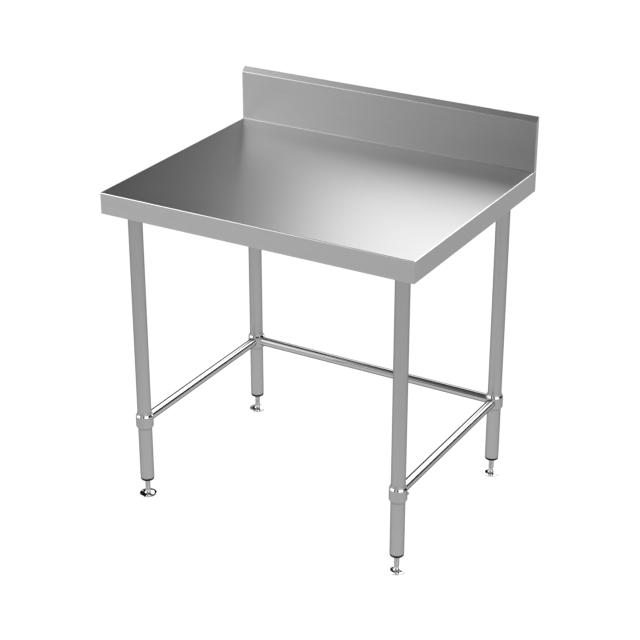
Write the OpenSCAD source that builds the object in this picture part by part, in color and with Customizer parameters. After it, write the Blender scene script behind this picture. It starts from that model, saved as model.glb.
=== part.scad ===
// Stainless work table with a splashback, four round legs, three braces and levelling feet.
// The origin is on the floor under the middle of the worktop: +X right, +Y to the splashback, +Z up.

/* [Worktop] */
// Width of the table, left to right
table_w = 900; // [700:50:1200]
// Depth of the table, front to back
table_d = 700; // [600:50:800]
// Height of the work surface above the floor
table_h = 900; // [850:10:950]
// Height of the folded edge around the worktop
edge_h = 58; // [54:1:70]
// Width of the hem turned in under the folded edge
hem_w = 12; // [8:1:16]
// Thickness of the sheet steel
sheet_t = 1.2; // [1.0:0.1:1.5]
// Inside radius of the folds
fold_r = 1.2; // [0.8:0.1:1.5]
// Inside radius of the sharp fold along the top of the splashback
peak_fold_r = 0.3; // [0.2:0.1:0.6]

/* [Splashback] */
// Height of the splashback above the work surface
splash_h = 150; // [100:10:200]
// Depth of the splashback, front to back
splash_d = 15; // [14:1:20]
// Slope of the top of the splashback, in degrees
splash_slope = 45; // [35:1:50]
// Height of the lip behind the sloping top
lip_h = 25; // [15:1:40]

/* [Legs] */
// Outside diameter of the leg tubes
leg_d = 38; // [36:0.5:38.5]
// Wall thickness of the leg tubes
leg_wall = 1.2; // [1.0:0.1:1.5]
// Distance from the table's edges to the leg axes
leg_inset = 61.5; // [58:0.5:80]
// Height of the lower end of the leg tubes
leg_bottom = 55; // [54:1:64]

/* [Braces] */
// Height of the brace tubes' axes
brace_h = 232; // [150:1:600]
// Outside diameter of the brace tubes
brace_d = 25.4; // [22:0.1:25.4]
// Outside diameter of the collars on the legs
collar_d = 47.6; // [47:0.1:50]
// Height of the collars
collar_h = 50; // [46:1:60]

/* [Feet] */
// Diameter of the foot pads
pad_d = 48; // [48:1:60]
// Diameter of the foot stems' thread
stem_d = 14; // [12:1:14]
// Distance between the two holes of a foot pad
pad_hole_gap = 37; // [34:1:38]
// Diameter of the holes of a foot pad
pad_hole_d = 5.5; // [4:0.1:6]

/* [Hidden] */
$fn = 64;
fold_steps = 6;
outer_r = fold_r + sheet_t;
peak_r = peak_fold_r + sheet_t;
running = 0.05;
leg_r = leg_d / 2;
leg_x = table_w / 2 - leg_inset;
leg_y = table_d / 2 - leg_inset;
deck_under = table_h - sheet_t;
edge_bottom = table_h - edge_h;
splash_front = table_d / 2 - splash_d;
// The sloping top's fold lines: the rear one stands above the splashback's rounded highest edge
peak_z = table_h + splash_h + peak_r * (tan(splash_slope) + 1 / cos(splash_slope) - 1);
bend_z = peak_z - splash_d * tan(splash_slope);

hat_h = 20;
hat_w = 70;
hat_flange = 20;
hat_front = -table_d / 2 + 9;
rail_flange = 22;
hat_back = table_d / 2 - rail_flange - 3;
hat_bottom = deck_under - hat_h;
hat_span = leg_x - hat_w / 2 - hat_flange - 3;
stud_row = hat_w / 2 + hat_flange / 2;
stud_gap_y = table_d * 0.34;
stud_gap_x = hat_span * 0.75;
deadener_t = 3;
deadener_gap = 8;

m5 = 5;
m6 = 6;
m8 = 8;
clear_m6 = 6.6;
stud_h = 14;
nut_af = 10;
nut_h = 5;
nut_flange_d = 13;
bolt_head_h = 4;
bolt_h = 12;

socket_plate = 68;
socket_plate_t = 3;
socket_plate_r = 8;
socket_bolt_gap = 48;
socket_d = 46;
socket_bottom = edge_bottom;
socket_top = hat_bottom - socket_plate_t;
leg_top = socket_top - 0.2;
socket_screw_z = (socket_bottom + socket_top) / 2;
socket_screw_h = 10;

insert_plug_h = 28;
insert_flange_h = 7.2;
insert_flange_r = leg_r - 0.4;
insert_edge_r = 2;
insert_nut_af = 21;
insert_nut_h = 11;
insert_nut_z = leg_bottom + insert_plug_h - insert_nut_h - 1;

stem_r = stem_d / 2;
stem_top = insert_nut_z + insert_nut_h + 31;
stem_tip = 1.5;
pad_r = pad_d / 2;
pad_edge = 2.4;
pad_ring_r = 17;
pad_hub_r = 9;
pad_hub_top = 7;
pivot_r = 4;
pivot_head_r = 6.5;
recess_r = 8;
recess_h = 3;
play = 0.1;

collar_r = collar_d / 2;
collar_end_r = leg_r + 0.3;
collar_taper_h = 8;
collar_bevel_h = 4.5;
collar_neck_r = 20.8;
collar_neck_h = 6;
collar_screw_h = 8;
brace_r = brace_d / 2;
brace_wall = 1.2;
spigot_r = brace_r - brace_wall - running;
spigot_start = 17;
spigot_end = 40;
spigot_chamfer = 1;
grub_h = 6;
grub_at = 32;
grub_tip = brace_r - 0.3 - grub_h;

front_left = [-1, -1];
front_right = [1, -1];
rear_left = [-1, 1];
rear_right = [1, 1];
corners = [front_left, front_right, rear_left, rear_right];
// Directions of the collars' set screws, in the order of the corners
collar_screw_angles = [160, 20, 90, 90];
// Directions of each corner's braces, in the same order
brace_angles = [[90], [90], [0, -90], [180, -90]];

// Paths and folds

function unit(a, b) = (b - a) / norm(b - a);

function left_of(u) = [-u.y, u.x];

function turned(v, a) = [v.x * cos(a) - v.y * sin(a), v.x * sin(a) + v.y * cos(a)];

// Angle from direction u to direction v, positive to the left
function turn_angle(u, v) = atan2(u.x * v.y - u.y * v.x, u * v);

// Points that round the corner p, where the path arrives along u and leaves along v
function corner_arc(p, u, v, r) =
    let (turn = turn_angle(u, v))
    let (side = sign(turn))
    let (centre = p - u * r * tan(abs(turn) / 2) + side * r * left_of(u))
    [for (i = [0:fold_steps]) centre - side * r * turned(left_of(u), turn * i / fold_steps)];

// One face of a folded sheet: the path moved s to its left, with its folds rounded, the sharp one less
function sheet_face(path, s, sharp = -1) = [
    for (i = [0:len(path) - 1])
        let (u = i == 0 ? unit(path[0], path[1]) : unit(path[i - 1], path[i]))
        let (v = i == len(path) - 1 ? u : unit(path[i], path[i + 1]))
        let (p = path[i] + s * (left_of(u) + left_of(v)) / (1 + u * v))
        let (turn = turn_angle(u, v))
        let (inside = i == sharp ? peak_fold_r : fold_r)
        each abs(turn) < 1 ? [p] : corner_arc(p, u, v, inside + (turn > 0 ? sheet_t - s : s))
];

function backwards(list) = [for (i = [len(list) - 1:-1:0]) list[i]];

// A closed outline with every corner rounded
function rounded_outline(points, r) = [
    for (i = [0:len(points) - 1])
        let (before = points[(i + len(points) - 1) % len(points)])
        let (after = points[(i + 1) % len(points)])
        each corner_arc(points[i], unit(before, points[i]), unit(points[i], after), r)
];

function box_corners(x0, y0, x1, y1) = [[x0, y0], [x1, y0], [x1, y1], [x0, y1]];

// Section of a folded sheet: the path is one face, and the metal lies to its left
module folded_section(path, sharp = -1) {
    polygon(concat(sheet_face(path, 0, sharp), backwards(sheet_face(path, sheet_t, sharp))));
}

// Draws a Y-Z section and extrudes it along X, centred
module along_x(length) {
    rotate([90, 0, 90])
        linear_extrude(length, center = true)
            children();
}

// Draws an X-Z section and extrudes it along Y from y0 to y1
module along_y(y0, y1) {
    translate([0, y1, 0])
        rotate([90, 0, 0])
            linear_extrude(y1 - y0)
                children();
}

module at_leg(corner) {
    translate([corner.x * leg_x, corner.y * leg_y, 0])
        children();
}

// Lays a child's +Z axis flat, pointing away from the leg at an angle in plan
module radial(angle, z) {
    translate([0, 0, z])
        rotate([0, 90, angle])
            children();
}

// Worktop

// Solid block with the worktop's rounded edges, shrunk by inset on the outside faces
module tray_block(inset, r) {
    x = table_w / 2 - inset;
    front = -table_d / 2 + inset;
    rear = table_d / 2 + 20;
    low = edge_bottom + inset;
    high = table_h - inset;
    intersection() {
        along_x(table_w)
            polygon(rounded_outline(box_corners(front, low, rear, high), r));
        along_y(front - 1, rear + 1)
            polygon(rounded_outline(box_corners(-x, low, x, high), r));
        translate([0, 0, low - 1])
            linear_extrude(high - low + 2)
                polygon(rounded_outline(box_corners(-x, front, x, rear), r));
    }
}

splash_path = [
    [table_d / 2, table_h + splash_h - lip_h],
    [table_d / 2, peak_z],
    [splash_front, bend_z],
    [splash_front, table_h],
    [splash_front - fold_r - 0.1, table_h]
];

module worktop_sheet() {
    deck_end = splash_front - fold_r - 0.05;
    deck_side = table_w / 2 - outer_r;
    hem_x = table_w / 2 - hem_w;
    hem_y = table_d / 2 - hem_w;
    color([0.74, 0.75, 0.76])
        union() {
            difference() {
                tray_block(0, outer_r);
                tray_block(sheet_t, fold_r);
                translate([-hem_x, -hem_y, edge_bottom - 1])
                    cube([2 * hem_x, hem_y + table_d, edge_h / 2]);
                translate([-deck_side, deck_end, edge_bottom + edge_h / 2])
                    cube([2 * deck_side, table_d, edge_h]);
                translate([-table_w, table_d / 2, 0])
                    cube([2 * table_w, table_d, 2 * table_h]);
            }
            along_x(table_w)
                folded_section(splash_path, sharp = 1);
        }
}

// Plate that closes one end of the hollow splashback, with a rear tab stepped in behind the lip
module splash_end_cap() {
    tab_w = 12;
    step_z = table_h + splash_h - lip_h - running;
    x = table_w / 2;
    y = table_d / 2;
    hollow = [
        [y, table_h],
        [y, peak_z],
        [splash_front, bend_z],
        [splash_front, table_h]
    ];
    color([0.76, 0.77, 0.78])
        intersection() {
            along_x(2 * table_w) {
                polygon(sheet_face(hollow, sheet_t, sharp = 1));
                translate([y - 2 * sheet_t, table_h])
                    square([2 * sheet_t, step_z - table_h]);
            }
            difference() {
                translate([x - tab_w, splash_front, table_h])
                    cube([tab_w, splash_d, splash_h]);
                translate([x - tab_w - 1, splash_front - 1, table_h - 1])
                    cube([tab_w + 1 - sheet_t, splash_d + 1 - 2 * sheet_t, splash_h + 2]);
                translate([x - tab_w - 1, splash_front - 1, table_h - 1])
                    cube([tab_w + 1 - sheet_t, splash_d + 1 - sheet_t, step_z - sheet_t - table_h + 1]);
            }
        }
}

// Channel that closes the rear of the worktop under the splashback
module rear_rail() {
    rail_w = table_w - 2 * (sheet_t + fold_r) - 0.4;
    notch = (table_w - rail_w) / 2 + hem_w;
    path = [
        [table_d / 2 - hem_w, edge_bottom],
        [table_d / 2, edge_bottom],
        [table_d / 2, deck_under],
        [table_d / 2 - rail_flange, deck_under]
    ];
    color([0.7, 0.71, 0.72])
        difference() {
            along_x(rail_w)
                folded_section(path);
            for (side = [-1, 1])
                translate([side * table_w / 2, table_d / 2, edge_bottom])
                    cube([2 * notch, 4 * hem_w, 2 * (outer_r + 0.4)], center = true);
        }
}

// Section of a hat channel centred on x, hanging from the underside of the deck
module hat_section(x) {
    web = hat_w / 2;
    lip = hat_w / 2 + hat_flange;
    base = hat_bottom + sheet_t;
    folded_section([
        [x + lip, deck_under], [x + web, deck_under], [x + web, base],
        [x - web, base], [x - web, deck_under], [x - lip, deck_under]
    ]);
}

module side_channel(side) {
    color([0.66, 0.67, 0.68])
        difference() {
            along_y(hat_front, hat_back)
                hat_section(side * leg_x);
            for (y = [-stud_gap_y, 0, stud_gap_y])
                for (row = [-stud_row, stud_row])
                    translate([side * leg_x + row, y, hat_bottom])
                        cylinder(d = clear_m6, h = 2 * hat_h);
            for (corner = corners)
                if (corner.x == side)
                    at_socket_bolts(corner)
                        translate([0, 0, hat_bottom - 1])
                            cylinder(d = clear_m6, h = hat_h / 2);
        }
}

module centre_channel() {
    color([0.66, 0.67, 0.68])
        difference() {
            along_x(2 * hat_span)
                hat_section(0);
            for (x = [-stud_gap_x, 0, stud_gap_x])
                for (row = [-stud_row, stud_row])
                    translate([x, row, hat_bottom])
                        cylinder(d = clear_m6, h = 2 * hat_h);
        }
}

// Rubbery sheet bonded under the deck between the channels, from y0 to y1
module deadening_pad(y0, y1) {
    w = 2 * (hat_span - deadener_gap);
    color([0.12, 0.12, 0.13])
        translate([0, 0, deck_under - deadener_t])
            linear_extrude(deadener_t)
                polygon(rounded_outline(box_corners(-w / 2, y0, w / 2, y1), 10));
}

// Puts its children at every stud that hangs from the deck
module at_studs() {
    for (side = [-1, 1])
        for (y = [-stud_gap_y, 0, stud_gap_y])
            for (row = [-stud_row, stud_row])
                translate([side * leg_x + row, y, deck_under])
                    children();
    for (x = [-stud_gap_x, 0, stud_gap_x])
        for (row = [-stud_row, stud_row])
            translate([x, row, deck_under])
                children();
}

module channel_studs() {
    color([0.6, 0.6, 0.6])
        at_studs() {
            translate([0, 0, -stud_h])
                cylinder(d1 = m6 - 1, d2 = m6, h = 0.5);
            translate([0, 0, -stud_h + 0.5])
                cylinder(d = m6, h = stud_h - 0.5);
        }
}

// Hexagon of a given size across its flats
module hexagon(across_flats) {
    circle(d = across_flats / cos(30), $fn = 6);
}

// Flange nut whose seat faces up at z = 0
module flange_nut() {
    difference() {
        union() {
            translate([0, 0, -nut_h])
                linear_extrude(nut_h - 0.5)
                    hexagon(nut_af);
            translate([0, 0, -1.2])
                cylinder(d = nut_flange_d, h = 1.2);
        }
        translate([0, 0, -2 * nut_h])
            cylinder(d = m6 + 2 * running, h = 3 * nut_h);
    }
}

module channel_nuts() {
    color([0.8, 0.8, 0.78])
        at_studs()
            translate([0, 0, -sheet_t])
                flange_nut();
}

// Leg sockets

module at_socket_bolts(corner) {
    half = socket_bolt_gap / 2;
    at_leg(corner)
        for (x = [-half, half])
            for (y = [-half, half])
                translate([x, y, 0])
                    children();
}

module leg_socket(corner) {
    half = socket_plate / 2;
    color([0.62, 0.63, 0.64])
        difference() {
            at_leg(corner)
                union() {
                    translate([0, 0, socket_top])
                        linear_extrude(socket_plate_t)
                            polygon(rounded_outline(box_corners(-half, -half, half, half),
                                                    socket_plate_r));
                    translate([0, 0, socket_bottom])
                        cylinder(d = socket_d, h = socket_top - socket_bottom + 1);
                }
            at_leg(corner)
                translate([0, 0, socket_bottom - 1])
                    cylinder(r = leg_r + 2 * running, h = socket_top - socket_bottom + 1);
            at_leg(corner)
                radial(corner.x > 0 ? 180 : 0, socket_screw_z)
                    cylinder(d = m8 + 2 * running, h = socket_d);
            at_socket_bolts(corner)
                translate([0, 0, socket_top - 1])
                    cylinder(d = clear_m6, h = socket_plate_t + 2);
        }
}

module socket_bolts() {
    color([0.78, 0.78, 0.76])
        for (corner = corners)
            at_socket_bolts(corner)
                translate([0, 0, socket_top]) {
                    translate([0, 0, -bolt_head_h])
                        linear_extrude(bolt_head_h)
                            hexagon(nut_af);
                    translate([0, 0, -1])
                        cylinder(d = m6, h = bolt_h + 1);
                }
}

module socket_nuts() {
    color([0.78, 0.78, 0.76])
        for (corner = corners)
            at_socket_bolts(corner)
                translate([0, 0, hat_bottom + sheet_t])
                    mirror([0, 0, 1])
                        flange_nut();
}

// Set screw along +Z with its tip at z = 0 and a hexagon socket in its outer end
module set_screw(d, length, key) {
    tip = d / 8;
    difference() {
        union() {
            cylinder(d1 = d - 2 * tip, d2 = d, h = tip);
            translate([0, 0, tip])
                cylinder(d = d, h = length - tip);
        }
        translate([0, 0, length - 0.6 * d])
            linear_extrude(d)
                hexagon(key);
    }
}

module socket_set_screws() {
    color([0.35, 0.35, 0.36])
        for (corner = corners)
            at_leg(corner)
                radial(corner.x > 0 ? 180 : 0, socket_screw_z)
                    translate([0, 0, leg_r + running])
                        set_screw(m8, socket_screw_h, 4);
}

// Legs

module leg(corner) {
    color([0.68, 0.69, 0.7])
        at_leg(corner)
            translate([0, 0, leg_bottom])
                difference() {
                    cylinder(r = leg_r, h = leg_top - leg_bottom);
                    translate([0, 0, -1])
                        cylinder(r = leg_r - leg_wall, h = leg_top - leg_bottom + 2);
                }
}

// Black plug in the leg's lower end, with a pocket for the nut in its top
module leg_insert(corner) {
    plug_r = leg_r - leg_wall - running;
    top = leg_bottom + insert_plug_h;
    low = leg_bottom - insert_flange_h;
    edge = [for (i = [0:fold_steps])
        [insert_flange_r - insert_edge_r * (1 - sin(90 * i / fold_steps)),
         low + insert_edge_r * (1 - cos(90 * i / fold_steps))]];
    grooves = [for (z = [leg_bottom + 5:6:top - 5]) each
        [[plug_r, z], [plug_r - 1, z + 1], [plug_r - 1, z + 2], [plug_r, z + 3]]];
    color([0.05, 0.05, 0.05])
        at_leg(corner)
            difference() {
                rotate_extrude()
                    polygon(concat([[stem_r + 0.3, low]], edge,
                                   [[insert_flange_r, leg_bottom], [plug_r, leg_bottom]],
                                   grooves, [[plug_r - 1, top], [stem_r + 0.3, top]]));
                translate([0, 0, insert_nut_z - running])
                    linear_extrude(insert_nut_h + 2)
                        hexagon(insert_nut_af + 2 * running);
            }
}

module insert_nuts() {
    color([0.75, 0.75, 0.72])
        for (corner = corners)
            at_leg(corner)
                translate([0, 0, insert_nut_z])
                    difference() {
                        linear_extrude(insert_nut_h)
                            hexagon(insert_nut_af);
                        translate([0, 0, -1])
                            cylinder(r = stem_r + running, h = insert_nut_h + 2);
                    }
}

// Feet

// Threaded stem with a shoulder above the pad and a pivot riveted under it
module foot_stem(corner) {
    shoulder = pad_hub_top + play;
    head_top = recess_h - play;
    color([0.72, 0.72, 0.72])
        at_leg(corner)
            rotate_extrude()
                polygon([
                    [0, 1], [pivot_head_r - 0.6, 1], [pivot_head_r, 1.6],
                    [pivot_head_r, head_top], [pivot_r, head_top], [pivot_r, shoulder],
                    [pad_hub_r - 1.5, shoulder], [pad_hub_r - 1.5, shoulder + 2.5],
                    [stem_r, shoulder + 7], [stem_r, stem_top - stem_tip],
                    [stem_r - stem_tip, stem_top], [0, stem_top]
                ]);
}

// Pad with a flat ring, a cone up to the hub around the pivot, and two holes for floor fixings
module foot_pad(corner) {
    color([0.85, 0.85, 0.86])
        at_leg(corner)
            difference() {
                rotate_extrude()
                    polygon([
                        [pivot_r + running, recess_h], [recess_r, recess_h], [recess_r, 0],
                        [pad_r - 0.8, 0], [pad_r, 0.8], [pad_r, pad_edge - 0.8],
                        [pad_r - 0.8, pad_edge], [pad_ring_r, pad_edge],
                        [pad_hub_r + 1, pad_edge + 2], [pad_hub_r, pad_edge + 2.8],
                        [pad_hub_r, pad_hub_top - 1],
                        [pad_hub_r - 1, pad_hub_top], [pivot_r + running, pad_hub_top]
                    ]);
                for (side = [-1, 1])
                    translate([side * pad_hole_gap / 2, 0, -1])
                        cylinder(d = pad_hole_d, h = pad_hub_top);
            }
}

// Braces

// Collar that slides on a leg, with a spigot inside the end of each brace tube
module brace_collar(i) {
    low = brace_h - collar_h / 2;
    high = brace_h + collar_h / 2;
    color([0.68, 0.69, 0.7])
        at_leg(corners[i])
            difference() {
                union() {
                    rotate_extrude()
                        polygon([
                            [leg_r - 1, low], [collar_end_r, low],
                            [collar_r, low + collar_taper_h],
                            [collar_r, high - collar_neck_h - collar_bevel_h],
                            [collar_neck_r, high - collar_neck_h],
                            [collar_end_r, high], [leg_r - 1, high]
                        ]);
                    for (angle = brace_angles[i])
                        radial(angle, brace_h)
                            rotate_extrude()
                                polygon([
                                    [0, spigot_start], [spigot_r, spigot_start],
                                    [spigot_r, spigot_end - spigot_chamfer],
                                    [spigot_r - spigot_chamfer, spigot_end], [0, spigot_end]
                                ]);
                }
                translate([0, 0, low - 1])
                    cylinder(r = leg_r + running, h = collar_h + 2);
                for (angle = brace_angles[i])
                    rotate([0, 0, angle])
                        translate([grub_at, 0, brace_h - brace_r])
                            cylinder(d = m5 + 2 * running, h = brace_r - grub_tip + running);
                radial(collar_screw_angles[i], brace_h)
                    cylinder(d = m8 + 2 * running, h = collar_d);
            }
}

// Centred brace tube lying along +X, with its ends shaped to collars whose axes are gap apart
module brace_tube(gap) {
    difference() {
        rotate([0, 90, 0])
            difference() {
                cylinder(r = brace_r, h = gap - 2 * spigot_start, center = true);
                cylinder(r = brace_r - brace_wall, h = gap, center = true);
            }
        for (end = [-1, 1]) {
            translate([end * gap / 2, 0, -brace_d])
                cylinder(r = collar_r + running, h = 2 * brace_d);
            translate([end * (gap / 2 - grub_at), 0, -brace_d])
                cylinder(d = m5 + 2 * running, h = brace_d);
        }
    }
}

module side_brace(side) {
    color([0.8, 0.81, 0.82])
        translate([side * leg_x, 0, brace_h])
            rotate([0, 0, 90])
                brace_tube(2 * leg_y);
}

module rear_brace() {
    color([0.8, 0.81, 0.82])
        translate([0, leg_y, brace_h])
            brace_tube(2 * leg_x);
}

module collar_set_screws() {
    color([0.7, 0.7, 0.7])
        for (i = [0:len(corners) - 1])
            at_leg(corners[i])
                radial(collar_screw_angles[i], brace_h)
                    translate([0, 0, leg_r + running])
                        set_screw(m8, collar_screw_h, 4);
}

module brace_grub_screws() {
    color([0.35, 0.35, 0.36])
        for (i = [0:len(corners) - 1])
            for (angle = brace_angles[i])
                at_leg(corners[i])
                    rotate([0, 0, angle])
                        translate([grub_at, 0, brace_h - grub_tip])
                            mirror([0, 0, 1])
                                set_screw(m5, grub_h, 2.5);
}

worktop_sheet();
mirror([1, 0, 0]) splash_end_cap();  // splash_end_cap_left
splash_end_cap();  // splash_end_cap_right
rear_rail();
side_channel(-1);  // side_channel_left
side_channel(1);  // side_channel_right
centre_channel();
deadening_pad(hat_front, -hat_w / 2 - hat_flange - deadener_gap);  // deadening_pad_front
deadening_pad(hat_w / 2 + hat_flange + deadener_gap, hat_back - deadener_gap);  // deadening_pad_rear
channel_studs();
channel_nuts();
leg_socket(front_left);  // leg_socket_front_left
leg_socket(front_right);  // leg_socket_front_right
leg_socket(rear_left);  // leg_socket_rear_left
leg_socket(rear_right);  // leg_socket_rear_right
socket_bolts();
socket_nuts();
socket_set_screws();
leg(front_left);  // leg_front_left
leg(front_right);  // leg_front_right
leg(rear_left);  // leg_rear_left
leg(rear_right);  // leg_rear_right
leg_insert(front_left);  // leg_insert_front_left
leg_insert(front_right);  // leg_insert_front_right
leg_insert(rear_left);  // leg_insert_rear_left
leg_insert(rear_right);  // leg_insert_rear_right
insert_nuts();
foot_stem(front_left);  // foot_stem_front_left
foot_stem(front_right);  // foot_stem_front_right
foot_stem(rear_left);  // foot_stem_rear_left
foot_stem(rear_right);  // foot_stem_rear_right
foot_pad(front_left);  // foot_pad_front_left
foot_pad(front_right);  // foot_pad_front_right
foot_pad(rear_left);  // foot_pad_rear_left
foot_pad(rear_right);  // foot_pad_rear_right
brace_collar(0);  // brace_collar_front_left
brace_collar(1);  // brace_collar_front_right
brace_collar(2);  // brace_collar_rear_left
brace_collar(3);  // brace_collar_rear_right
side_brace(-1);  // brace_tube_left
side_brace(1);  // brace_tube_right
rear_brace();  // brace_tube_rear
collar_set_screws();
brace_grub_screws();
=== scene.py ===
"""Looks of the stainless work table: steel finishes, threaded feet, deadening sheets, studio and camera.

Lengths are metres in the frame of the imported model: +Z up, front towards -Y.
"""

import math

import bpy
import numpy as np
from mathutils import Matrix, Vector


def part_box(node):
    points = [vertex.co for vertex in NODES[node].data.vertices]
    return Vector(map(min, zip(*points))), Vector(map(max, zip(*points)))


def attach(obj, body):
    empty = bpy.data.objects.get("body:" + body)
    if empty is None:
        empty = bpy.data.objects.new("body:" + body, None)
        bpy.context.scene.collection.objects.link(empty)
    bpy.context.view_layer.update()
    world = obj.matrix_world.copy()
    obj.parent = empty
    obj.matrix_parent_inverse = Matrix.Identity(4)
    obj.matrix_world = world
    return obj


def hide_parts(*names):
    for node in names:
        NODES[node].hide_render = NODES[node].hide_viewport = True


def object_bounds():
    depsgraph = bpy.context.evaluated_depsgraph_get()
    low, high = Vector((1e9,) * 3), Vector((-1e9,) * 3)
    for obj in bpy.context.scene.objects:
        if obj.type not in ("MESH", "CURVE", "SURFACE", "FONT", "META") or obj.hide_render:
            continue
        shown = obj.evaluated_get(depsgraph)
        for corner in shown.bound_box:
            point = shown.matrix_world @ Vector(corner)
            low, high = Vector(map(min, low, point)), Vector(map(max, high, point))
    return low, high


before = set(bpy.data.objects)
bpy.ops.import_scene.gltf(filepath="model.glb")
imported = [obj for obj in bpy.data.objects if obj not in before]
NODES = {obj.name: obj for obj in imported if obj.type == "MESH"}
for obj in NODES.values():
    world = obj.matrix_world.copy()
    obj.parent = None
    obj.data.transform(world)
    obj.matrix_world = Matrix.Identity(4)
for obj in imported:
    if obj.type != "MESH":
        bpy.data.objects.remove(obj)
CAD_LOW, CAD_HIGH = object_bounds()
CORNERS = ("front_left", "front_right", "rear_left", "rear_right")
MM = 0.001


# ---------------------------------------------------------------- shader graph


class Graph:
    """Short calls that build one node tree."""

    def __init__(self, tree):
        self.tree = tree
        tree.nodes.clear()

    def add(self, kind, inputs=None, **settings):
        node = self.tree.nodes.new(kind)
        for name, value in settings.items():
            setattr(node, name, value)
        for key, value in (inputs or {}).items():
            self.feed(node.inputs[key], value)
        return node

    def feed(self, socket, value):
        if isinstance(value, bpy.types.NodeSocket):
            self.tree.links.new(value, socket)
        else:
            socket.default_value = value

    def math(self, operation, *values, clamp=False):
        inputs = dict(enumerate(values))
        return self.add("ShaderNodeMath", inputs, operation=operation, use_clamp=clamp).outputs[0]

    def vmath(self, operation, *values, output="Vector"):
        inputs = dict(enumerate(values))
        return self.add("ShaderNodeVectorMath", inputs, operation=operation).outputs[output]

    def split(self, vector):
        return self.add("ShaderNodeSeparateXYZ", {0: vector}).outputs

    def join(self, x, y, z):
        return self.add("ShaderNodeCombineXYZ", {0: x, 1: y, 2: z}).outputs[0]

    def mix(self, factor, a, b):
        """a at factor 0, b at factor 1."""
        return self.add("ShaderNodeMix", {0: factor, 2: a, 3: b}, data_type="FLOAT").outputs[0]

    def ramp(self, value, start, end, low=0.0, high=1.0):
        """low before start, high after end, smooth between; end may be below start."""
        if start > end:
            start, end, low, high = end, start, high, low
        inputs = {0: value, 1: start, 2: end, 3: low, 4: high}
        return self.add("ShaderNodeMapRange", inputs, interpolation_type="SMOOTHSTEP").outputs[0]

    def noise(self, vector, scale=1.0, detail=2.0, roughness=0.5):
        inputs = {"Vector": vector, "Scale": scale, "Detail": detail, "Roughness": roughness}
        return self.add("ShaderNodeTexNoise", inputs).outputs[0]

    def grey(self, value):
        return self.add("ShaderNodeCombineColor", {0: value, 1: value, 2: value}).outputs[0]


def object_space(g):
    return g.add("ShaderNodeTexCoord").outputs["Object"]


def surface_normal(g):
    return g.add("ShaderNodeNewGeometry").outputs["Normal"]


def stretched(g, along, across, per_along, per_across, detail=2.0, seed=0.0):
    """Streaks: noise with per_along cells a metre one way and per_across the other."""
    vector = g.join(g.math("MULTIPLY", along, per_along), g.math("MULTIPLY", across, per_across), seed)
    return g.noise(vector, detail=detail)


def swing(g, noise, amount):
    """noise about its middle, as a small plus or minus."""
    return g.math("MULTIPLY", g.math("SUBTRACT", noise, 0.5), 2 * amount)


def new_material(name):
    material = bpy.data.materials.new(name)
    material.use_nodes = True
    return material, Graph(material.node_tree)


def output(g, inputs):
    shader = g.add("ShaderNodeBsdfPrincipled", inputs)
    g.add("ShaderNodeOutputMaterial", {0: shader.outputs[0]})
    return shader


def edge_shade(g, brightness, amount, start=0.0, end=1.0, along=None):
    """Painted shade: darkens brightness by up to amount where the surface turns away from view; along is a
    tube's axis, if any.
    """
    geometry = g.add("ShaderNodeNewGeometry")
    eye, normal = geometry.outputs["Incoming"], geometry.outputs["Normal"]
    facing = g.math("ABSOLUTE", g.vmath("DOT_PRODUCT", eye, normal, output="Value"))
    if along is not None:
        down = g.vmath("DOT_PRODUCT", eye, along, output="Value")
        around = g.math("SQRT", g.math("SUBTRACT", 1.0, g.math("MULTIPLY", down, down)))
        facing = g.math("DIVIDE", facing, around)
    loss = g.ramp(g.math("SUBTRACT", 1.0, facing), start, end, 0.0, amount)
    return g.math("MULTIPLY", brightness, g.math("SUBTRACT", 1.0, loss))


def bump(g, height, distance, strength=1.0):
    inputs = {"Height": height, "Distance": distance, "Strength": strength}
    return g.add("ShaderNodeBump", inputs).outputs[0]


# ------------------------------------------------------------------- materials

def fold_highlight_mask(g, z, up):
    """Painted highlight mask: 1 on the sheet's folds that turn upwards, 0 on its flat faces and the
    splashback's sloping top.
    """
    turned = g.math("MULTIPLY", g.ramp(up, 0.03, 0.15), g.ramp(up, 0.98, 0.92))
    near_top = g.math("GREATER_THAN", z, CAD_HIGH.z - 20 * MM)
    slope = g.math("MULTIPLY", g.ramp(up, 0.60, 0.68), near_top)
    return g.math("MULTIPLY", turned, g.math("SUBTRACT", 1.0, slope))


def brushed_sheet(name, tone=0.665, roughness=0.325, anisotropy=0.74):
    """Sheet brushed along its length, with a painted highlight on its upturned folds (near-white colour,
    lower roughness); on the end faces the grain runs down.
    """
    material, g = new_material(name)
    x, y, z = g.split(object_space(g))
    normal = surface_normal(g)
    n = g.split(normal)
    end_face = g.math("GREATER_THAN", g.math("ABSOLUTE", n[0]), 0.7)
    along = g.mix(end_face, x, z)
    across = g.mix(end_face, g.math("ADD", y, z), y)
    fine = stretched(g, along, across, 9, 2600, detail=3)
    medium = stretched(g, along, across, 2.5, 420, seed=3.7)
    broad = stretched(g, along, across, 0.9, 55, seed=8.1)
    cloud = g.noise(object_space(g), scale=4.0, detail=3)
    brightness = g.math("ADD", tone, swing(g, medium, 0.022))
    brightness = g.math("ADD", brightness, swing(g, broad, 0.016))
    brightness = g.math("ADD", brightness, swing(g, cloud, 0.008))
    # Painted highlight: the upturned folds get a near-white colour and lower roughness.
    fold_highlight = fold_highlight_mask(g, z, n[2])
    rough = g.math("ADD", roughness, swing(g, medium, 0.03))
    rough = g.math("ADD", rough, swing(g, cloud, 0.015))
    grain = g.join(g.math("SUBTRACT", 1.0, end_face), 0.0, end_face)
    output(g, {
        "Base Color": g.grey(g.mix(fold_highlight, brightness, 0.94)),
        "Metallic": 1.0,
        "Roughness": g.mix(fold_highlight, rough, 0.2),
        "Anisotropic": anisotropy,
        "Tangent": g.vmath("CROSS_PRODUCT", normal, grain),
        "Specular Tint": (0.75, 0.75, 0.75, 1.0),
        "Normal": bump(g, fine, 0.003 * MM),
    })
    return material


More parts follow.
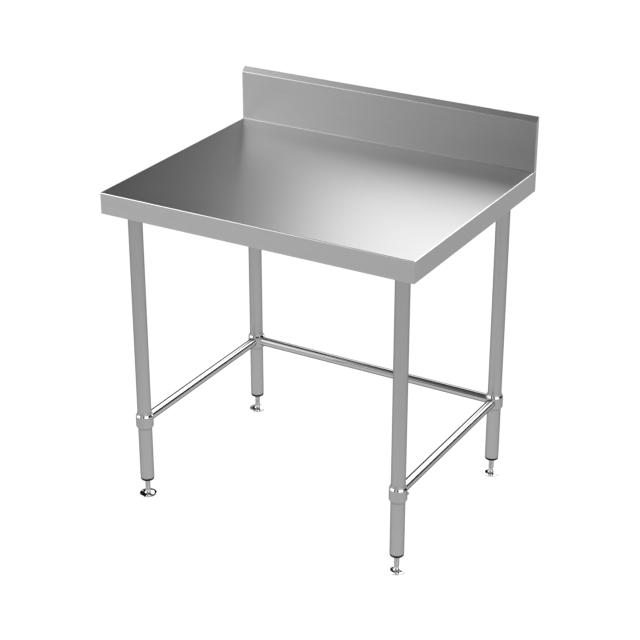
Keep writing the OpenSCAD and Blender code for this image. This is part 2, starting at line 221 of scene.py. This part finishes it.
def plain_sheet(name):
    """Mill-finish channel steel: cloudy, with faint rolling lines."""
    material, g = new_material(name)
    x, y, z = g.split(object_space(g))
    cloud = g.noise(object_space(g), scale=22.0, detail=5)
    lines = stretched(g, g.math("ADD", x, z), y, 5, 900, seed=1.3)
    brightness = g.math("ADD", 0.5, swing(g, cloud, 0.10))
    brightness = g.math("ADD", brightness, swing(g, lines, 0.03))
    output(g, {
        "Base Color": g.grey(brightness),
        "Metallic": 1.0,
        "Roughness": g.math("ADD", 0.36, swing(g, cloud, 0.10)),
        "Normal": bump(g, cloud, 0.01 * MM),
    })
    return material


def leg_steel(name):
    """Satin upright tube, polished along its length, with painted shade making it a little darker at its
    two sides.
    """
    material, g = new_material(name)
    z = g.split(object_space(g))[2]
    normal = surface_normal(g)
    n = g.split(normal)
    turn = g.math("ARCTAN2", n[0], n[1])
    fine = stretched(g, z, turn, 12, 60, detail=3)
    ring = stretched(g, turn, z, 0.4, 30, seed=5.0)
    brightness = g.math("ADD", 0.575, swing(g, fine, 0.02))
    brightness = g.math("ADD", brightness, swing(g, ring, 0.012))
    output(g, {
        # Painted shade darkens the tube towards its sides.
        "Base Color": g.grey(edge_shade(g, brightness, 0.30, 0.25)),
        "Metallic": 1.0,
        "Roughness": g.math("ADD", 0.40, swing(g, fine, 0.03)),
        "Anisotropic": 0.5,
        "Tangent": g.vmath("CROSS_PRODUCT", normal, (0.0, 0.0, 1.0)),
        "Specular Tint": (0.6, 0.6, 0.6, 1.0),
        "Normal": bump(g, fine, 0.003 * MM),
    })
    return material


def brace_steel(name):
    """Bright tubes with dark outlines of painted shade; the rear one runs along X, between the two that run
    along Y.
    """
    material, g = new_material(name)
    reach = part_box("brace_tube_rear")[1].x + MM
    x, y, z = g.split(object_space(g))
    wear = g.noise(g.join(g.math("MULTIPLY", x, 30), g.math("MULTIPLY", y, 30), g.math("MULTIPLY", z, 400)))
    sideways = g.math("LESS_THAN", g.math("ABSOLUTE", x), reach)
    along = g.join(sideways, g.math("SUBTRACT", 1.0, sideways), 0.0)
    bright = g.math("ADD", 0.66, swing(g, wear, 0.02))
    output(g, {
        # Painted shade draws the dark outlines along the tube's edges.
        "Base Color": g.grey(edge_shade(g, bright, 0.85, 0.28, 0.6, along)),
        "Metallic": 1.0,
        "Roughness": g.math("ADD", 0.12, swing(g, wear, 0.03)),
        "Specular Tint": (0.7, 0.7, 0.7, 1.0),
        "Normal": bump(g, wear, 0.002 * MM),
    })
    return material


def collar_steel(name):
    """Satin collar with the bevel above its body polished bright."""
    material, g = new_material(name)
    x, y, z = g.split(object_space(g))
    up = g.split(surface_normal(g))[2]
    polished = g.math("MULTIPLY", g.ramp(up, 0.36, 0.46), g.ramp(up, 0.75, 0.65))
    turned = stretched(g, g.math("ADD", x, y), z, 15, 3200, detail=3)
    cloud = g.noise(object_space(g), scale=60.0, detail=3)
    satin = g.math("ADD", 0.575, g.math("ADD", swing(g, turned, 0.03), swing(g, cloud, 0.02)))
    output(g, {
        # Painted shade darkens the collar where it turns away from view.
        "Base Color": g.grey(edge_shade(g, g.mix(polished, satin, 0.85), 0.3, 0.25)),
        "Metallic": 1.0,
        "Roughness": g.mix(polished, g.math("ADD", 0.40, swing(g, cloud, 0.05)), 0.05),
        "Specular Tint": (0.7, 0.7, 0.7, 1.0),
        "Normal": bump(g, turned, g.mix(polished, 0.004 * MM, 0.0)),
    })
    return material


def polished_steel(name, tone, roughness):
    """Buffed steel with faint polishing swirls."""
    material, g = new_material(name)
    place = object_space(g)
    swirl = g.noise(g.vmath("MULTIPLY", place, (300.0, 300.0, 90.0)), detail=4)
    cloud = g.noise(place, scale=70.0)
    output(g, {
        "Base Color": g.grey(g.math("ADD", tone, swing(g, cloud, 0.03))),
        "Metallic": 1.0,
        "Roughness": g.math("ADD", roughness, swing(g, swirl, roughness * 0.5)),
        "Normal": bump(g, swirl, 0.002 * MM),
    })
    return material


def rolled_steel(name, tone=0.60, roughness=0.48, plain_top=14 * MM):
    """Rolled thread with a little random grime and painted shade where it turns away from view, above a
    polished plain end.
    """
    material, g = new_material(name)
    place = object_space(g)
    grime = g.noise(place, scale=180.0, detail=4)
    plain = g.ramp(g.split(place)[2], plain_top + MM, plain_top)
    # Painted shade darkens the thread where it turns away from view.
    thread = edge_shade(g, g.math("ADD", tone, swing(g, grime, 0.03)), 0.35, 0.3)
    output(g, {
        "Base Color": g.grey(g.mix(plain, thread, 0.8)),
        "Metallic": 1.0,
        "Roughness": g.mix(plain, g.math("ADD", roughness, swing(g, grime, 0.05)), 0.06),
        "Specular Tint": (0.6, 0.6, 0.6, 1.0),
        "Normal": bump(g, grime, g.mix(plain, 0.004 * MM, 0.0005 * MM)),
    })
    return material


def plated_steel(name, tone=0.62, tint=(1.0, 1.0, 0.99), roughness=0.3):
    """Zinc-plated fasteners: mottled, with duller patches."""
    material, g = new_material(name)
    mottle = g.noise(object_space(g), scale=260.0, detail=4)
    patch = g.noise(object_space(g), scale=45.0, detail=2)
    bright = g.math("ADD", tone, g.math("ADD", swing(g, mottle, 0.06), swing(g, patch, 0.05)))
    output(g, {
        "Base Color": g.vmath("MULTIPLY", tint, g.join(bright, bright, bright)),
        "Metallic": 1.0,
        "Roughness": g.math("ADD", roughness, swing(g, patch, 0.1)),
        "Normal": bump(g, mottle, 0.01 * MM),
    })
    return material


def black_oxide(name):
    """Blackened screws, worn a little brighter in patches."""
    material, g = new_material(name)
    worn = g.ramp(g.noise(object_space(g), scale=320.0, detail=4), 0.55, 0.72)
    output(g, {
        "Base Color": g.grey(g.mix(worn, 0.035, 0.16)),
        "Metallic": 0.8,
        "Roughness": g.mix(worn, 0.42, 0.30),
        "Normal": bump(g, worn, 0.01 * MM),
    })
    return material


def black_plastic(name):
    """Moulded insert: near black, finely textured, slightly dusty."""
    material, g = new_material(name)
    place = object_space(g)
    texture = g.noise(place, scale=1400.0, detail=3)
    dust = g.ramp(g.noise(place, scale=90.0, detail=4), 0.5, 0.8)
    output(g, {
        "Base Color": g.grey(g.mix(dust, 0.006, 0.014)),
        "Roughness": g.mix(dust, 0.42, 0.58),
        "Specular IOR Level": 0.2,
        "Normal": bump(g, texture, 0.03 * MM),
    })
    return material


def deadener(name):
    """Bitumen sheet: dull dark grey with a coarse grain."""
    material, g = new_material(name)
    place = object_space(g)
    grit = g.noise(place, scale=700.0, detail=5)
    stain = g.noise(place, scale=9.0, detail=3)
    tone = g.math("ADD", 0.045, g.math("ADD", swing(g, grit, 0.02), swing(g, stain, 0.012)))
    output(g, {
        "Base Color": g.grey(tone),
        "Roughness": g.math("ADD", 0.68, swing(g, grit, 0.12)),
        "Normal": bump(g, grit, 0.12 * MM),
    })
    return material


def make_materials():
    """One material for each of the record's slots."""
    return {
        "brushed_sheet": brushed_sheet("brushed_sheet_finish"),
        "plain_sheet": plain_sheet("plain_sheet_finish"),
        "deadener": deadener("deadener_finish"),
        "fastener": plated_steel("fastener_finish"),
        "dark_screw": black_oxide("dark_screw_finish"),
        "socket_steel": plated_steel("socket_steel_finish", 0.55, (1.0, 1.0, 1.0), 0.36),
        "satin_tube": leg_steel("satin_tube_finish"),
        "black_plastic": black_plastic("black_plastic_finish"),
        "stem_steel": rolled_steel("stem_steel_finish"),
        "polished_pad": polished_steel("polished_pad_finish", 0.84, 0.02),
        "satin_collar": collar_steel("satin_collar_finish"),
        "polished_tube": brace_steel("polished_tube_finish"),
    }


def finish_cad_nodes(materials):
    """Swaps each CAD node's plain material for the finish of the same slot."""
    for node in NODES.values():
        for index, old in enumerate(node.data.materials):
            node.data.materials[index] = materials[old.name.split(".")[0]]


# ------------------------------------------------------------------ new meshes


def make_piece(name, vertices, faces, material, body, replaced, sharp_deg=35):
    """A smooth-shaded mesh that rides on body and stands for CAD node replaced."""
    mesh = bpy.data.meshes.new(name)
    mesh.from_pydata([tuple(v) for v in vertices], [], faces)
    mesh.validate()
    mesh.materials.append(material)
    mesh.polygons.foreach_set("use_smooth", [True] * len(mesh.polygons))
    mesh.set_sharp_from_angle(angle=math.radians(sharp_deg))
    piece = bpy.data.objects.new(name, mesh)
    bpy.context.scene.collection.objects.link(piece)
    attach(piece, body)
    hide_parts(replaced)
    return piece


def fillet(points, radius, steps=5):
    """A closed outline in (r, z) with every corner rounded by up to radius."""
    rounded = []
    for i, corner in enumerate(points):
        before, after = Vector(points[i - 1]), Vector(points[(i + 1) % len(points)])
        corner = Vector(corner)
        to_before, to_after = (before - corner), (after - corner)
        half = to_before.angle(to_after) / 2
        cut = min(radius / math.tan(half), 0.45 * to_before.length, 0.45 * to_after.length)
        start, end = corner + to_before.normalized() * cut, corner + to_after.normalized() * cut
        for s in range(steps + 1):
            t = s / steps
            rounded.append(start * (1 - t) ** 2 + corner * 2 * t * (1 - t) + end * t ** 2)
    return rounded


def revolve(outline, centre, segments=128):
    """Vertices and faces of a closed (r, z) outline turned about a vertical axis."""
    turns = [2 * math.pi * s / segments for s in range(segments)]
    vertices = [
        (centre.x + p[0] * math.cos(a), centre.y + p[0] * math.sin(a), p[1]) for a in turns for p in outline
    ]
    n = len(outline)
    faces = [
        (s * n + i, (s + 1) % segments * n + i, (s + 1) % segments * n + (i + 1) % n, s * n + (i + 1) % n)
        for s in range(segments)
        for i in range(n)
    ]
    return vertices, faces


def axis_of(node):
    """Middle of a node's box, which is on its axis."""
    low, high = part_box(node)
    return (low + high) / 2


def build_legs(material, wall=1.2 * MM, rim=1.0 * MM):
    """Leg tubes with softly rounded rims."""
    for corner in CORNERS:
        node = f"leg_{corner}"
        low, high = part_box(node)
        outer = (high.x - low.x) / 2
        outline = [(outer - wall, low.z), (outer, low.z), (outer, high.z), (outer - wall, high.z)]
        vertices, faces = revolve(fillet(outline, rim), axis_of(node))
        make_piece(f"leg_tube_{corner}", vertices, faces, material, "table_frame", node)


def thread_radius(phase, crest, depth):
    """Radius on a 60 degree thread at phase 0 to 1 of its pitch, with flat crest and root."""
    rise = np.clip(np.abs((phase % 1.0) * 2 - 1) * 1.45 - 0.2, 0, 1)
    return crest - depth * rise


def build_stems(material, shaft=7 * MM, pitch=2 * MM, depth=0.45 * MM, segments=40, rows=7):
    """Foot stems: pivot and shoulder in millimetres as in the CAD, and a real helical thread above them."""
    foot = [(6.5, 0), (6.5, 1.9), (4, 1.9), (4, 6.1), (7.5, 6.1), (7.5, 8.6), (7.3, 10.4), (7.1, 12.2),
            (7.0, 13.4)]
    for corner in CORNERS:
        node = f"foot_stem_{corner}"
        low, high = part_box(node)
        base = low.z
        thread_start, thread_end = base + 15 * MM, high.z - 1.5 * MM
        count = int((thread_end - thread_start) / pitch * rows)
        levels = np.linspace(thread_start, thread_end, count)
        turns = 2 * math.pi * np.arange(segments) / segments
        centre = axis_of(node)
        rings = [[(r * MM, base + z * MM)] * segments for r, z in foot]
        for z in levels:
            fade = min(1.0, (z - thread_start) / pitch, (thread_end - z) / pitch)
            phase = z / pitch - turns / (2 * math.pi)
            rings.append([(float(r), float(z)) for r in thread_radius(phase, shaft, depth * fade)])
        rings.append([(shaft - depth, high.z)] * segments)
        vertices = [
            (centre.x + ring[s][0] * math.cos(a), centre.y + ring[s][0] * math.sin(a), ring[s][1])
            for ring in rings
            for s, a in enumerate(turns)
        ]
        faces = [
            (k * segments + s, k * segments + (s + 1) % segments,
             (k + 1) * segments + (s + 1) % segments, (k + 1) * segments + s)
            for k in range(len(rings) - 1)
            for s in range(segments)
        ]
        faces.append(tuple(reversed(range(segments))))
        faces.append(tuple((len(rings) - 1) * segments + s for s in range(segments)))
        make_piece(f"threaded_stem_{corner}", vertices, faces, material,
                   f"stem_{corner}", node)


def build_deadening(material, cell=14 * MM, relief=0.9 * MM, border=6 * MM):
    """Deadening sheets with an embossed diamond pattern underneath."""
    for end in ("front", "rear"):
        node = f"deadening_pad_{end}"
        low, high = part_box(node)
        across, deep = (max(2, round((high[i] - low[i]) / cell * 2)) for i in (0, 1))
        xs = np.linspace(low.x, high.x, across + 1)
        ys = np.linspace(low.y, high.y, deep + 1)
        vertices = []
        for j, y in enumerate(ys):
            for i, x in enumerate(xs):
                inside = min(x - low.x, high.x - x, y - low.y, high.y - y) > border
                raised = inside and i % 2 == 1 and j % 2 == 1
                vertices.append((x, y, low.z if raised or not inside else low.z + relief))
        top = len(vertices)
        rim = [(i, 0) for i in range(across)] + [(across, j) for j in range(deep)]
        rim += [(i, deep) for i in range(across, 0, -1)] + [(0, j) for j in range(deep, 0, -1)]
        vertices += [(xs[i], ys[j], high.z) for i, j in rim]
        row = across + 1
        faces = [
            (j * row + i, (j + 1) * row + i, (j + 1) * row + i + 1, j * row + i + 1)
            for j in range(deep)
            for i in range(across)
        ]
        faces += [
            (rim[k][1] * row + rim[k][0], rim[(k + 1) % len(rim)][1] * row + rim[(k + 1) % len(rim)][0],
             top + (k + 1) % len(rim), top + k)
            for k in range(len(rim))
        ]
        faces.append(tuple(top + k for k in range(len(rim))))
        make_piece(f"embossed_deadener_{end}", vertices, faces, material, "table_frame", node,
                   sharp_deg=12)


# ---------------------------------------------------------------------- studio


def panel(g, edges, strength):
    """One soft light patch. Each edge is (coordinate, where it is dark, where it is bright)."""
    value = strength
    for coordinate, dark, bright in edges:
        value = g.math("MULTIPLY", value, g.ramp(coordinate, dark, bright))
    return value


def studio_light(g):
    """How bright the room is by direction: bright walls behind and in front, weaker fills between."""
    x, y, z = g.split(g.add("ShaderNodeTexCoord").outputs["Generated"])
    aside = g.math("ABSOLUTE", x)
    height = g.math("DEGREES", g.math("ARCSINE", z))
    in_front, behind = (y, 0.02, -0.05), (y, -0.02, 0.05)
    back_wall = panel(g, ((aside, 0.477, 0.460), behind, (height, 0, 8), (height, 54, 46)), 2.05)
    front_sides = panel(g, ((aside, 0.33, 0.58), (aside, 0.95, 0.86), in_front,
                            (height, -4, 16), (height, 65, 39)), 2.0)
    front_middle = panel(g, ((aside, 0.25, 0.10), in_front, (height, -4, 10), (height, 80, 60)), 0.6)
    far_sides = panel(g, ((aside, 0.84, 0.95), (height, -4, 10), (height, 80, 60)), 0.8)
    ceiling = panel(g, ((height, 72, 84),), 0.7)
    ground = panel(g, ((height, 8, -8),), 0.42)
    total = 0.01
    for patch in (back_wall, front_sides, front_middle, far_sides, ceiling, ground):
        total = g.math("ADD", total, patch)
    return total


def build_world():
    """White behind the object, a shaded studio in its reflections."""
    world = bpy.data.worlds.new("studio")
    world.use_nodes = True
    g = Graph(world.node_tree)
    to_eye = g.add("ShaderNodeLightPath").outputs["Is Camera Ray"]
    level = g.mix(to_eye, studio_light(g), 1.0)
    background = g.add("ShaderNodeBackground", {"Color": g.grey(level), "Strength": 1.0})
    g.add("ShaderNodeOutputWorld", {0: background.outputs[0]})
    bpy.context.scene.world = world


def floor_material():
    """Pale floor that glows, almost washed out to the eye; in reflections its glow, painted light, dims
    slowly with distance.
    """
    material, g = new_material("studio_floor")
    place = object_space(g)
    soft = g.noise(place, scale=3.0)
    reach = g.vmath("LENGTH", place, output="Value")
    matt = g.add("ShaderNodeBsdfDiffuse", {"Color": g.grey(g.math("ADD", 0.80, swing(g, soft, 0.01)))})
    to_eye = g.add("ShaderNodeLightPath").outputs["Is Camera Ray"]
    # Painted light: the floor's glow, near white to the eye, fading with distance in reflections.
    strength = g.mix(to_eye, g.ramp(reach, 0.3, 1.9, 0.67, 0.50), 1.1)
    glow = g.add("ShaderNodeEmission", {"Color": (1.0, 1.0, 1.0, 1.0), "Strength": strength})
    share = g.mix(to_eye, 0.75, 0.86)
    both = g.add("ShaderNodeMixShader", {0: share, 1: matt.outputs[0], 2: glow.outputs[0]})
    g.add("ShaderNodeOutputMaterial", {0: both.outputs[0]})
    return material


def build_floor(half=8.0, gap=0.2 * MM):
    z = CAD_LOW.z - gap
    mesh = bpy.data.meshes.new("floor")
    corners = [(-half, -half, z), (half, -half, z), (half, half, z), (-half, half, z)]
    mesh.from_pydata(corners, [], [(0, 1, 2, 3)])
    mesh.materials.append(floor_material())
    floor = bpy.data.objects.new("floor", mesh)
    bpy.context.scene.collection.objects.link(floor)


def build_light(name, place, aim, size, watts):
    """A large soft lamp for matt surfaces; polished ones see the studio instead."""
    lamp = bpy.data.lights.new(name, "AREA")
    lamp.shape, lamp.size, lamp.energy = "DISK", size, watts
    light = bpy.data.objects.new(name, lamp)
    light.location = place
    light.rotation_euler = (Vector(aim) - Vector(place)).to_track_quat("-Z", "Y").to_euler()
    light.visible_glossy = False
    light.visible_camera = False
    bpy.context.scene.collection.objects.link(light)


def build_camera(azimuth=29.894, elevation=25.127, distance=4.669, aim=(-0.0044, 0, 0.5032), lens=97.8):
    """Looks down on the front right corner; azimuth 0 would be straight from the front."""
    data = bpy.data.cameras.new("camera")
    data.lens, data.sensor_width = lens, 36.0
    camera = bpy.data.objects.new("camera", data)
    a, e = math.radians(azimuth), math.radians(elevation)
    back = Vector((math.sin(a) * math.cos(e), -math.cos(a) * math.cos(e), math.sin(e)))
    camera.location = Vector(aim) + back * distance
    camera.rotation_euler = (-back).to_track_quat("-Z", "Y").to_euler()
    bpy.context.scene.collection.objects.link(camera)
    bpy.context.scene.camera = camera


def build_studio():
    bpy.context.scene.view_settings.view_transform = "Standard"
    build_world()
    build_floor()
    build_light("key", (-1.6, -2.2, 3.4), (0, 0, 0.4), 3.0, 45)
    build_light("fill", (2.4, 1.4, 3.0), (0, 0, 0.4), 2.6, 20)
    build_camera()


def main():
    materials = make_materials()
    finish_cad_nodes(materials)
    build_legs(materials["satin_tube"])
    build_stems(materials["stem_steel"])
    build_deadening(materials["deadener"])
    build_studio()


main()
